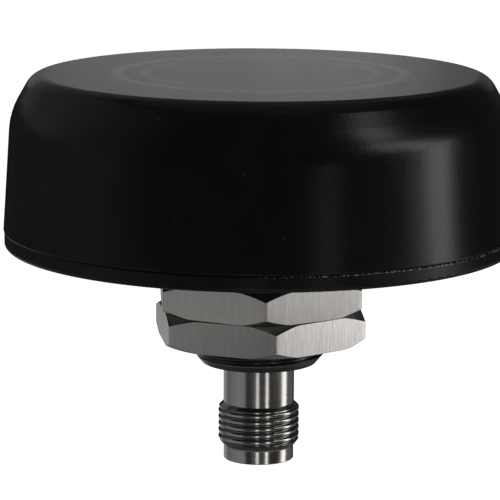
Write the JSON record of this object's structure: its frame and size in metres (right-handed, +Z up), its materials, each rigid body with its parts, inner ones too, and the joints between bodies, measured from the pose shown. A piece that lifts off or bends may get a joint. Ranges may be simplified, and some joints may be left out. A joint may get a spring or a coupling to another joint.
{
  "type": "through-hole gnss antenna",
  "caption": "Low round satellite-navigation antenna with a drafted radome, a threaded stem with jam nuts for a panel hole, and a threaded coaxial jack below.",
  "frame": {"origin": "on the axis, in the plane where the base's gasket meets the panel", "axes": "+Z up along the stem's axis towards the crown, -Y the side that the picture shows"},
  "size_m": [0.0694, 0.0694, 0.0532],
  "materials": {
    "radome_shell": "satin",
    "base_black": "satin",
    "stem_black": "gloss",
    "rubber": "matte",
    "screw_steel": "satin",
    "washer_steel": "satin",
    "nut_steel": "brushed",
    "jack_plating": "nickel plated, polished",
    "dielectric": "satin",
    "contact_gold": "polished",
    "cable_jacket": "satin",
    "board_laminate": "satin",
    "can_tin": "satin",
    "chip_black": "matte",
    "capacitor_body": "matte",
    "ceramic": "matte",
    "silver_layer": "satin",
    "adhesive": "matte",
    "foam": "matte"
  },
  "bodies": {
    "housing": {"radome": "radome_shell", "base_plate": "base_black", "housing_seal": "rubber", "panel_gasket": "rubber", "housing_screws": "screw_steel", "threaded_stem": "stem_black", "stem_screws": "screw_steel", "connector_body": "jack_plating", "connector_insulator": "dielectric", "connector_contact": "contact_gold", "connector_seal": "rubber", "connector_retainer": "jack_plating", "coax_pigtail": "cable_jacket", "pigtail_plug": "contact_gold", "board_socket": "dielectric", "circuit_board": "board_laminate", "board_screws": "screw_steel", "shield_can": "can_tin", "saw_filters": "chip_black", "amplifier_chips": "chip_black", "capacitors": "capacitor_body", "lower_patch_tape": "adhesive", "lower_patch": "ceramic", "lower_electrode": "silver_layer", "upper_patch_tape": "adhesive", "upper_patch": "ceramic", "upper_electrode": "silver_layer", "lower_feed_pin": "contact_gold", "upper_feed_pin": "contact_gold", "foam_pad": "foam"},
    "washer": {"lock_washer": "washer_steel"},
    "upper_nut": {"mounting_nut_upper": "nut_steel"},
    "lower_nut": {"mounting_nut_lower": "nut_steel"}
  },
  "joints": [
    {"name": "washer_travel", "type": "slide", "parent": "housing", "child": "washer", "axis": [0, 0, 1], "range_m": [0, 0.002]},
    {"name": "upper_nut_turn", "type": "hinge", "parent": "washer", "child": "upper_nut", "pos_m": [0, 0, -0.0056], "axis": [0, 0, 1], "range_deg": [0, 453.6]},
    {"name": "lower_nut_travel", "type": "slide", "parent": "housing", "child": "lower_nut", "axis": [0, 0, 1], "range_m": [-0.0068, 0]}
  ],
  "couplings": [
    {"joint": "upper_nut_turn", "follows": "washer_travel", "rad_per_m": 3957.9}
  ]
}
